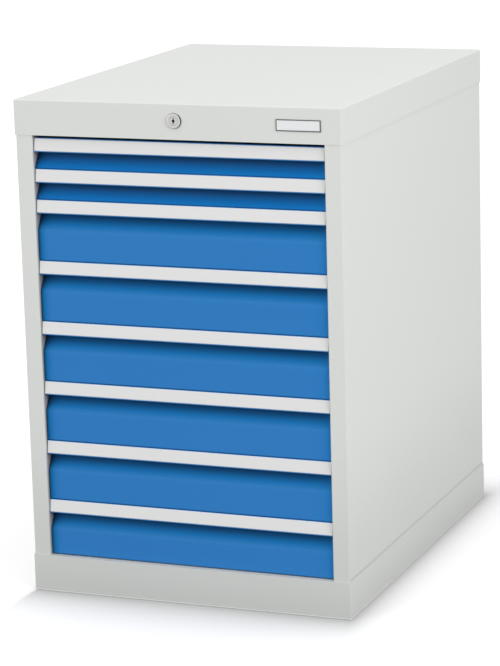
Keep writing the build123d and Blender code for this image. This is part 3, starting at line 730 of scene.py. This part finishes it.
plastic = Finish("moulded_black_plastic", {"Specular IOR Level": 0.4})
plastic_grain = plastic.noise(plastic.place(), 900.0)
plastic.feed({
    "Base Color": plastic.blend(plastic_grain, (0.022, 0.022, 0.024), (0.036, 0.036, 0.038)),
    "Roughness": 0.5 + plastic_grain * 0.15,
    "Normal": plastic.bump(plastic_grain, 0.00005),
})
wear_as(plastic.material, "rod_bush", "lock_bar_guides")


# Name plate: a frame of dark satin metal, stuck on the cover's skirt, with a pale
# anodised insert in its recess. Nothing is printed on it.

def stepped_plate(name, low, high, back_y, steps, material):
    """A rectangular plate on the skirt, built up from (inset, rise) steps from its rim inwards."""
    bm = bmesh.new()
    loops = []
    for inset, rise in steps:
        x0, x1, z0, z1 = low.x + inset, high.x - inset, low.z + inset, high.z - inset
        y = back_y - rise
        loops.append([bm.verts.new((x, y, z)) for x, z in ((x0, z0), (x1, z0), (x1, z1), (x0, z1))])
    for first, second in zip(loops, loops[1:]):
        for corner in range(4):
            following = (corner + 1) % 4
            bm.faces.new([first[corner], first[following], second[following], second[corner]])
    bm.faces.new(list(reversed(loops[0])))
    bm.faces.new(loops[-1])
    piece = finished_piece(name, bm)
    piece.data.materials.append(material)
    return piece


rim = Finish("dark_satin_frame", {"Metallic": 0.8})
rim_haze = rim.noise(rim.place(), 120.0)
rim.feed({
    "Base Color": rim.blend(rim_haze, (0.10, 0.105, 0.10), (0.15, 0.155, 0.15)),
    "Roughness": 0.38 + rim_haze * 0.1,
})
pale_plate = Finish("pale_anodised_insert", {"Metallic": 0.0, "Specular IOR Level": 0.5})
pale_lines = pale_plate.noise(pale_plate.place((1.0, 30.0, 80.0)), 20.0)
pale_plate.feed({
    "Base Color": pale_plate.blend(pale_lines, (0.755, 0.765, 0.775), (0.80, 0.81, 0.815)),
    "Roughness": 0.36 + pale_lines * 0.12,
    "Normal": pale_plate.bump(pale_lines, 0.00001),
})
plate_low, plate_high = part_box("name_plate")
plate_rise = plate_high.y - plate_low.y
frame_width, edge, recess_depth = 0.0015, 0.00025, 0.0006
frame_piece = stepped_plate("plate_frame", plate_low, plate_high, plate_high.y, [
    (0.0, 0.0),
    (0.0, plate_rise - edge),
    (edge, plate_rise),
    (frame_width - edge, plate_rise),
    (frame_width, plate_rise - edge),
    (frame_width, plate_rise - recess_depth),
], rim.material)
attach(frame_piece, "cabinet")
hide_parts("name_plate")
insert_gap, insert_rise = 0.0001, 0.0004
field_back = plate_high.y - (plate_rise - recess_depth)
inset = Vector((frame_width + insert_gap, 0.0, frame_width + insert_gap))
insert = stepped_plate("plate_insert", plate_low + inset, plate_high - inset, field_back, [
    (0.0, 0.0),
    (0.0, insert_rise - edge / 2),
    (edge / 2, insert_rise),
], pale_plate.material)
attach(insert, "cabinet")


# Floor and backdrop: a plain pale sweep under an even sky. The camera sees it as
# white paper that still takes the cabinet's shadow, with a painted shadow round the plinth.

floor_mesh = bpy.data.meshes.new("floor")
floor_size = 12.0
floor_mesh.from_pydata(
    [(x * floor_size, y * floor_size, 0.0) for x, y in ((-1, -1), (1, -1), (1, 1), (-1, 1))],
    [],
    [(0, 1, 2, 3)],
)
floor = bpy.data.objects.new("floor", floor_mesh)
bpy.context.scene.collection.objects.link(floor)

paper = Finish("white_paper", {"Roughness": 0.9, "Specular IOR Level": 0.0, "Emission Strength": 0.28})


def seen_directly(graph):
    """1 for camera, glossy and transmission rays, 0 for the rays that light the object."""
    path = graph.tree.nodes.new("ShaderNodeLightPath")
    seen = Value(graph, path.outputs["Is Camera Ray"])
    for ray in ("Is Glossy Ray", "Is Transmission Ray"):
        seen = graph.calculate("MAXIMUM", seen, Value(graph, path.outputs[ray]))
    return seen


def paper_away(axis, low, high, fade_low, fade_high):
    """How far out of the plinth's outline a spot lies along one axis, in lengths of its fade."""
    place = paper.along(axis)
    below, above = (low - place) / fade_low, (place - high) / fade_high
    return paper.calculate("MAXIMUM", 0.0, paper.calculate("MAXIMUM", below, above))


paper_seen = seen_directly(paper)
# A painted shadow round the plinth: its fade lengths and its strength.
left_inset, shade_at_left, shade_at_right, shade_at_ends = 0.004, 0.006, 0.029, 0.063
painted_shadow_strength, lighting_share = 0.54, 0.375
black, paper_white, full_white = (0.0, 0.0, 0.0), (0.8, 0.8, 0.8), (1.0, 1.0, 1.0)
across = paper_away("X", plinth_low.x + left_inset, plinth_high.x, shade_at_left, shade_at_right)
along = paper_away("Y", plinth_low.y, plinth_high.y, shade_at_ends, shade_at_ends)
away = paper.calculate("SQRT", across * across + along * along)
# The painted shadow, darkest at the plinth.
painted_shadow = 1.0 - painted_shadow_strength * paper.fading(away)
seen_painted_shadow = paper_seen * painted_shadow
paper.feed({
    "Base Color": paper.blend(seen_painted_shadow + (1.0 - paper_seen) * lighting_share, black, paper_white),
    "Emission Color": paper.blend(seen_painted_shadow, black, full_white),
})
floor_mesh.materials.append(paper.material)

world = bpy.data.worlds.new("studio")
bpy.context.scene.world = world
world.use_nodes = True
sky = Nodes(world.node_tree)
light_level, seen_level = 0.98, 1.0
background = world.node_tree.nodes["Background"]
background.inputs["Color"].default_value = (1.0, 1.0, 1.0, 1.0)
sky.connect(light_level + (seen_level - light_level) * seen_directly(sky), background.inputs["Strength"])


# Lights: two broad soft boxes, from the front left and from the front right, both
# above the cabinet. Neither shows as a reflection.

def softbox(name, spot, power, aim=(0.0, 0.0, 0.4), size=2.0):
    lamp = bpy.data.lights.new(name, "AREA")
    lamp.shape = "SQUARE"
    lamp.size = size
    lamp.energy = power
    holder = bpy.data.objects.new(name, lamp)
    holder.location = spot
    holder.rotation_euler = (Vector(aim) - Vector(spot)).to_track_quat("-Z", "Y").to_euler()
    holder.visible_glossy = False
    bpy.context.scene.collection.objects.link(holder)


softbox("front_left", spot=(-2.4, -3.4, 1.9), power=31.2)
softbox("front_right", spot=(3.2, -1.9, 1.8), power=51.0)


# Camera: where the photograph was taken from, worked out from the cabinet's
# outline. It aims at a spot in the plane of the body's front.

turn, tilt, roll = math.radians(21.669), math.radians(12.755), math.radians(-1.597)
distance, focal_pixels, frame_height = 4.338, 2758.9, 666.0
aim = Vector((0.1174, body_front, 0.4589))
back = Vector((math.sin(turn) * math.cos(tilt), -math.cos(turn) * math.cos(tilt), math.sin(tilt)))
right = Vector((math.cos(turn), math.sin(turn), 0.0))
up = back.cross(right)
rolled_right = right * math.cos(roll) + up * math.sin(roll)
rolled_up = up * math.cos(roll) - right * math.sin(roll)
camera = bpy.data.objects.new("camera", bpy.data.cameras.new("camera"))
camera.data.sensor_width = 36.0
camera.data.lens = focal_pixels / frame_height * camera.data.sensor_width
turning = Matrix((rolled_right, rolled_up, back)).transposed().to_4x4()
camera.matrix_world = Matrix.Translation(aim + back * distance) @ turning
bpy.context.scene.collection.objects.link(camera)
bpy.context.scene.camera = camera

bpy.context.scene.view_settings.view_transform = "Standard"
